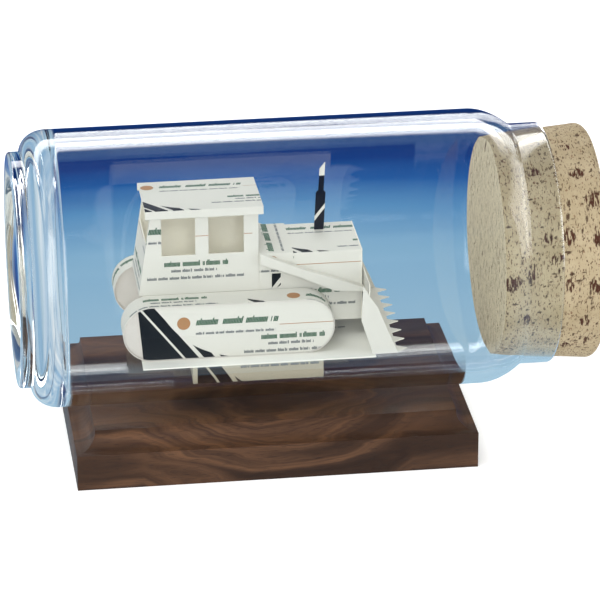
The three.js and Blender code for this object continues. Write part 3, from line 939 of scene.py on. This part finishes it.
def cut_channel(piece):
    """Takes the jar's cylinder, a little larger and running past both ends, out of the base."""
    radius = JAR_RADIUS + SEAT_CLEARANCE
    ends = BASE_HIGH.x + CHANNEL_OVERRUN
    cylinder = lathe([(-ends, 0), (-ends, radius), (ends, radius), (ends, 0)], CHANNEL_SEGMENTS)
    tool = mesh_object(cylinder, "channel_tool")
    modifier = piece.modifiers.new("channel", "BOOLEAN")
    modifier.object = tool
    modifier.solver = "EXACT"
    apply_modifiers(piece)
    bpy.data.objects.remove(tool)


def soften_edges(piece, width):
    modifier = piece.modifiers.new("arris", "BEVEL")
    modifier.width = width * MM
    modifier.segments = 3
    modifier.limit_method = "ANGLE"
    modifier.angle_limit = math.radians(20)
    apply_modifiers(piece)
    piece.data.set_sharp_from_angle(angle=math.radians(35))


def apply_modifiers(piece):
    """Writes the modifiers' result into the piece's own mesh."""
    bpy.context.view_layer.update()
    graph = bpy.context.evaluated_depsgraph_get()
    data = bpy.data.meshes.new_from_object(piece.evaluated_get(graph))
    piece.modifiers.clear()
    old = piece.data
    piece.data = data
    bpy.data.meshes.remove(old)


# ------------------------ loader

def track_face_layout(at, normal, centre):
    where = "above" if centre.z > FACE_SEAM_H else "below"
    return placed(CARD_PLACES, f"track_face_{where}_seam", at.x, at.z)


def track_face_wedge(at, normal, centre):
    return placed(WEDGE_PLACES, "track_face", at.x, at.z)


def build_tracks():
    for side, sign in (("near", -1), ("far", 1)):
        build_track_face(side, sign)
        card_piece(f"{side}_track_outer_plate", plain=PLATE_PAINTED_SHADE)
        card_piece(f"{side}_track_inner_plate", plain=PLATE_PAINTED_SHADE)
        build_track_band(side, sign)


def build_track_face(side, sign):
    """Two overlapping cards: the lower one stands a card's thickness proud of the upper one."""
    node = f"{side}_track_face_card"
    mesh = cad_mesh(node)
    round_folds(mesh)
    seam = MACHINE + Vector((0, 0, FACE_SEAM_H))
    split_at(mesh, seam, (0, 0, 1))
    split_at(mesh, seam - Vector((0, 0, 0.08)), (0, 0, 1))
    low, high = node_box(node)
    middle = (low.y + high.y) / 2
    for vertex in mesh.verts:
        at = vertex.co / MM
        if (at.y - middle) * sign > 0 and at.z < seam.z - 0.05:
            vertex.co.y += sign * FACE_SEAM_STEP * MM
    mesh.normal_update()
    lay_on_card(mesh, track_face_layout, facing(1, sign), track_face_wedge)
    finish_piece(mesh, node, node, "jar", [PRINTED, PLAIN_BACK_PAINTED_LIGHT])


def strip_section(outer, inner, near, far):
    """Cross-section of a strip of card between two depths, with its four edges softened."""
    soft = CUT_SOFTENING
    out = (outer - inner).normalized() * soft
    return [
        outer - out + Vector((0, near, 0)), outer + Vector((0, near + soft, 0)),
        outer + Vector((0, far - soft, 0)), outer - out + Vector((0, far, 0)),
        inner + out + Vector((0, far, 0)), inner + Vector((0, far - soft, 0)),
        inner + Vector((0, near + soft, 0)), inner + out + Vector((0, near, 0)),
    ]


def build_track_band(side, sign):
    """The strip wrapped round a track, in fine steps, printed on its outside."""
    low, high = loader_box(f"{side}_track_band")
    radius = (high.z - low.z) / 2
    left = low.x + radius
    right = high.x - radius
    middle = low.z + radius
    steps = BAND_ARC_STEPS
    stations = [x for x in BAND_STATIONS if left < x < right]

    def loop_of(r):
        return [*arc(right, middle, r, r, -90, 90, steps),
                *[(x, middle + r) for x in reversed(stations)],
                *arc(left, middle, r, r, 90, 270, steps),
                *[(x, middle - r) for x in stations]]

    mesh = bmesh.new()
    rings = []
    for (ox, oz), (ix, iz) in zip(loop_of(radius), loop_of(radius - CARD)):
        section = strip_section(Vector((ox, 0, oz)), Vector((ix, 0, iz)), low.y, high.y)
        rings.append([mesh.verts.new((MACHINE + corner) * MM) for corner in section])
    for a, b in zip(rings, rings[1:] + rings[:1]):
        join_rings(mesh, a, b)
    bmesh.ops.recalc_face_normals(mesh, faces=mesh.faces)
    mesh.normal_update()

    def unrolled(at):
        if at.x > right:
            turn = math.atan2(at.x - right, max(at.z - middle, -radius))
            return right + radius * turn
        if at.x < left:
            turn = math.atan2(left - at.x, at.z - middle)
            return left - radius * turn
        return at.x

    def layout(at, normal, centre):
        across = (at.y - low.y) if sign < 0 else (high.y - at.y)
        if centre.z < middle and left < centre.x < right:
            return placed(CARD_PLACES, "track_band_underside", at.x, across)
        piece = f"{side}_track_band_left" if centre.x < BAND_JOINT_X else "track_band"
        return placed(CARD_PLACES, piece, unrolled(at), across)

    def wedge(at, normal, centre):
        if centre.z > middle and BAND_MARK[0] < centre.x < BAND_MARK[1]:
            return placed(WEDGE_PLACES, "track_band", unrolled(at), at.y - low.y)
        return FAR_AWAY

    def outside(centre, normal):
        spine = Vector((min(max(centre.x, left), right), centre.y, middle))
        return normal.dot(centre - spine) > 0.27 * radius

    lay_on_card(mesh, layout, outside, wedge)
    finish_piece(mesh, f"{side}_track_band_card", f"{side}_track_band", "jar",
                 [PRINTED, PLATE_PAINTED_SHADE])


def build_chassis():
    for name in ("deck", "near_side", "far_side", "rear_end", "front_end"):
        card_piece(f"chassis_{name}")


def build_cab():
    card_piece("cab_near_wall", standing("cab_near_wall"), facing(1, -1))
    card_piece("cab_far_wall", standing("cab_far_wall", sign=-1), facing(1, 1))
    card_piece("cab_rear_wall", standing("cab_rear_wall", axis=1), facing(0, -1))
    card_piece("cab_front_wall", standing("cab_front_wall", axis=1), facing(0, 1))
    low, high = loader_box("cab_roof")

    def layout(at, normal, centre):
        if is_flap(normal):
            return FAR_AWAY
        return placed(CARD_PLACES, "cab_roof", at.x - low.x, at.y - low.y)

    def wedge(at, normal, centre):
        if is_flap(normal):
            return FAR_AWAY
        return placed(WEDGE_PLACES, "cab_roof", at.x - low.x, at.y - low.y)

    card_piece("cab_roof", layout, outward_of(high.z), wedge)


def build_hood():
    low, high = loader_box("engine_hood")

    def layout(at, normal, centre):
        if not is_flap(normal):
            return placed(CARD_PLACES, "hood_top", at.x, at.y)
        side, sign = ("near", 1) if centre.y < 0 else ("far", -1)
        return placed(CARD_PLACES, f"hood_{side}_flap", at.x * sign, at.z)

    def wedge(at, normal, centre):
        if not is_flap(normal):
            return placed(WEDGE_PLACES, "hood_top", at.x, at.y - low.y)
        if HOOD_MARK[0] < centre.x < HOOD_MARK[1]:
            return placed(WEDGE_PLACES, "hood_flap", at.x, -at.z)
        return FAR_AWAY

    seams = [(MACHINE + Vector((x, 0, 0)), (1, 0, 0)) for x in HOOD_MARK]
    card_piece("engine_hood", layout, outward_of(high.z), wedge, seams)
    card_piece("radiator_panel", standing("radiator_panel", axis=1), facing(0, 1))

    def cowl_layout(at, normal, centre):
        across = at.y
        if is_flap(normal):
            across = (low.y if centre.y < 0 else high.y) + at.z - high.z
        return placed(CARD_PLACES, "cowl_strip", across, -at.x)

    card_piece("cowl_strip", cowl_layout, outward_of(high.z))


def build_stack():
    mesh = cad_mesh("exhaust_stack")
    bevel(mesh, edges_over(mesh, SHARP_ANGLE), STACK_ROUNDING, segments=2)
    finish_piece(mesh, "exhaust_stack_card", "exhaust_stack", "jar",
                 [stack_material()])


def build_bucket():
    for side in ("near", "far"):
        card_piece(f"{side}_lift_arm", blank, lambda centre, normal: abs(normal.x) < ARM_END)
        card_piece(f"bucket_{side}_side", blank, looking_along(1))
    card_piece("bucket_back", blank, looking_along(0))
    card_piece("bucket_toothed_edge", blank, looking_along(2))


def build_floor_and_pedestal():
    # The floor plate's faces take the lighter paper, which is painted light.
    card_piece("floor_plate",
               lambda at, normal, centre: placed(CARD_PLACES, "floor_plate", at.x, at.y),
               looking_along(2), face=FLOOR_PAINTED_LIGHT)
    low, _ = loader_box("pedestal_front")
    margin_x = low.x + PEDESTAL_MARGIN

    def layout(at, normal, centre):
        return placed(CARD_PLACES, "pedestal", at.x - low.x, at.z - low.z)

    def wedge(at, normal, centre):
        if centre.x < margin_x:
            return FAR_AWAY
        return placed(WEDGE_PLACES, "pedestal", at.x - low.x, at.z - low.z)

    margin = (MACHINE + Vector((margin_x, 0, 0)), (1, 0, 0))
    # The pedestal's faces take the darker paper, which is painted shade.
    for name, sign in (("front", -1), ("back", 1)):
        card_piece(f"pedestal_{name}", layout, facing(1, sign), wedge, [margin],
                   face=PEDESTAL_PAINTED_SHADE)
    for name, sign in (("left", -1), ("right", 1)):
        card_piece(f"pedestal_{name}_end", blank, facing(0, sign), face=PEDESTAL_PAINTED_SHADE)


# ------------------------ stage, lamps and camera

def build_floor():
    """A plain pale floor that the glass neither mirrors nor shows through."""
    mesh = bmesh.new()
    bmesh.ops.create_circle(mesh, cap_ends=True, segments=96, radius=FLOOR_RADIUS)
    floor = mesh_object(mesh, "studio_floor")
    material, _, shader, _ = new_material("pale_floor")
    shader.inputs["Base Color"].default_value = (0.85, 0.85, 0.85, 1)
    shader.inputs["Roughness"].default_value = 0.9
    shader.inputs["Emission Color"].default_value = (1, 1, 1, 1)
    shader.inputs["Emission Strength"].default_value = FLOOR_GLOW
    floor.data.materials.append(material)
    floor.visible_transmission = False
    floor.visible_glossy = False


def backdrop_blue(tree, z):
    """Blue behind the object, from pale at its foot to navy at the top."""
    low, high = BACKDROP_HEIGHTS
    ramp = tree.nodes.new("ShaderNodeValToRGB")
    plug(tree, ramp.inputs[0], (z - low) / (high - low))
    stops = ramp.color_ramp.elements
    while len(stops) < len(BACKDROP_BLUES):
        stops.new(0.5)
    for stop, (at, code) in zip(stops, BACKDROP_BLUES):
        stop.position = at
        stop.color = rgb(code)
    return ramp.outputs[0]


def surround_material():
    """Behind the object it is blue, with a bright soft strip above. Round the sides it is pale,
    in front it is dark, and one soft panel stands at the right and one at the front left."""
    material, tree, shader, _ = new_material("studio_surround_light", "ShaderNodeEmission")
    place = tree.nodes.new("ShaderNodeNewGeometry").outputs["Position"]
    x, y, z = split(tree, place)
    x = x / DRUM_RADIUS
    y = y / DRUM_RADIUS
    streaks = noise_value(tree, stretched(tree, place, (11, 11, 2.0)), detail=2)
    pale = layered(tree, rgb("8fb4d2"), (streaks.ease(0.42, 0.6), "d3e2ec"),
                   (streaks.ease(0.6, 0.66), "f4f7f9"))
    side = y.ease(*PALE_Y).inverse().either(x.ease(*PALE_X).inverse())
    side = side * z.ease(*PALE_TOP).inverse()
    colour = mix_colour(tree, side, backdrop_blue(tree, z), pale)
    front = y.ease(*FRONT_Y).inverse() * side
    colour = mix_colour(tree, front, colour, rgb("4a5a68"))

    behind = y.ease(*BEHIND_Y)
    strip = z.window(*STRIP_HEIGHTS) * behind
    right = x.ease(*RIGHT_PANEL_X) * behind.inverse() * z.window(*RIGHT_PANEL_HEIGHTS)
    left = x.window(*LEFT_PANEL_X) * y.below(0) * z.window(*LEFT_PANEL_HEIGHTS)
    light = (strip * STRIP_LIGHT).either(right * PANEL_LIGHT).either(left * PANEL_LIGHT)
    plug(tree, shader.inputs[0],
         mix_colour(tree, light.math("MINIMUM", 1.0), colour, rgb("ffffff")))
    plug(tree, shader.inputs[1], light.math("MAXIMUM", 1.0))
    return material


def build_surround():
    """A drum round the object that only the glass shows, by refraction and reflection."""
    mesh = bmesh.new()
    bmesh.ops.create_cone(mesh, cap_ends=True, segments=96, radius1=DRUM_RADIUS,
                          radius2=DRUM_RADIUS, depth=DRUM_HEIGHT)
    drum = mesh_object(mesh, "studio_surround")
    drum.location = (0.0, 0.0, DRUM_MIDDLE)
    drum.data.materials.append(surround_material())
    drum.visible_camera = False
    drum.visible_diffuse = False
    drum.visible_shadow = False


def add_lamp(name, place, target, size, power):
    lamp = bpy.data.lights.new(name, "AREA")
    lamp.shape = "RECTANGLE"
    lamp.size, lamp.size_y = size
    lamp.energy = power
    holder = bpy.data.objects.new(name, lamp)
    holder.location = place
    aim = Vector(target) - Vector(place)
    holder.rotation_euler = aim.to_track_quat("-Z", "Y").to_euler()
    holder.visible_transmission = False
    holder.visible_glossy = False
    holder.visible_camera = False
    bpy.context.scene.collection.objects.link(holder)


def build_lamps():
    """The lamps, and a world that is white to the camera and dim to everything else."""
    for name, place, size, power in LAMPS:
        add_lamp(name, place, LAMP_TARGET, size, power)
    world = bpy.data.worlds.new("studio")
    bpy.context.scene.world = world
    world.use_nodes = True
    tree = world.node_tree
    background = tree.nodes["Background"]
    rays = tree.nodes.new("ShaderNodeLightPath")
    seen = Value(tree, rays.outputs["Is Camera Ray"])
    background.inputs[0].default_value = (1, 1, 1, 1)
    plug(tree, background.inputs[1], seen * (1 - WORLD_LIGHT) + WORLD_LIGHT)


def build_camera():
    camera = bpy.data.cameras.new("camera")
    camera.lens = CAMERA_LENS
    camera.sensor_width = 36
    camera.clip_end = 20
    holder = bpy.data.objects.new("camera", camera)
    a = math.radians(CAMERA_AZIMUTH)
    e = math.radians(CAMERA_ELEVATION)
    back = Vector((math.sin(a) * math.cos(e), -math.cos(a) * math.cos(e), math.sin(e)))
    holder.location = (CAMERA_TARGET + back * CAMERA_DISTANCE) * MM
    holder.rotation_euler = (-back).to_track_quat("-Z", "Y").to_euler()
    bpy.context.scene.collection.objects.link(holder)
    bpy.context.scene.camera = holder


# ------------------------ everything

bpy.context.scene.view_settings.view_transform = "Standard"
build_camera()
PRINTED = printed_card_material("printed_card", "dddad1")
# Painted light: the floor plate takes a lighter copy of the printed card's paper, standing in for
# light falling on it.
FLOOR_PAINTED_LIGHT = printed_card_material("floor_card_painted_light", "f3f0e7")
# Painted shade: the pedestal takes a darker copy of the printed card's paper, in place of the
# shade that falls on it.
PEDESTAL_PAINTED_SHADE = printed_card_material("pedestal_card_painted_shade", "b1a995")
# The card's unprinted back: its own white, made lighter than the printed face's paper as painted
# light for the shaded inside of the cab.
PLAIN_BACK_PAINTED_LIGHT = plain_card_material("plain_card", "f9f5ea", "f2eddf")
# Painted shade: the track plates and the band's inside take a darker, greyer copy of the plain
# card, in place of the shade inside the tracks.
PLATE_PAINTED_SHADE = plain_card_material("track_plate_card_painted_shade", "dbd5cf", "cbc4bc")
build_base()
build_jar()
build_cork()
build_floor_and_pedestal()
build_tracks()
build_chassis()
build_cab()
build_hood()
build_stack()
build_bucket()
build_floor()
build_surround()
build_lamps()
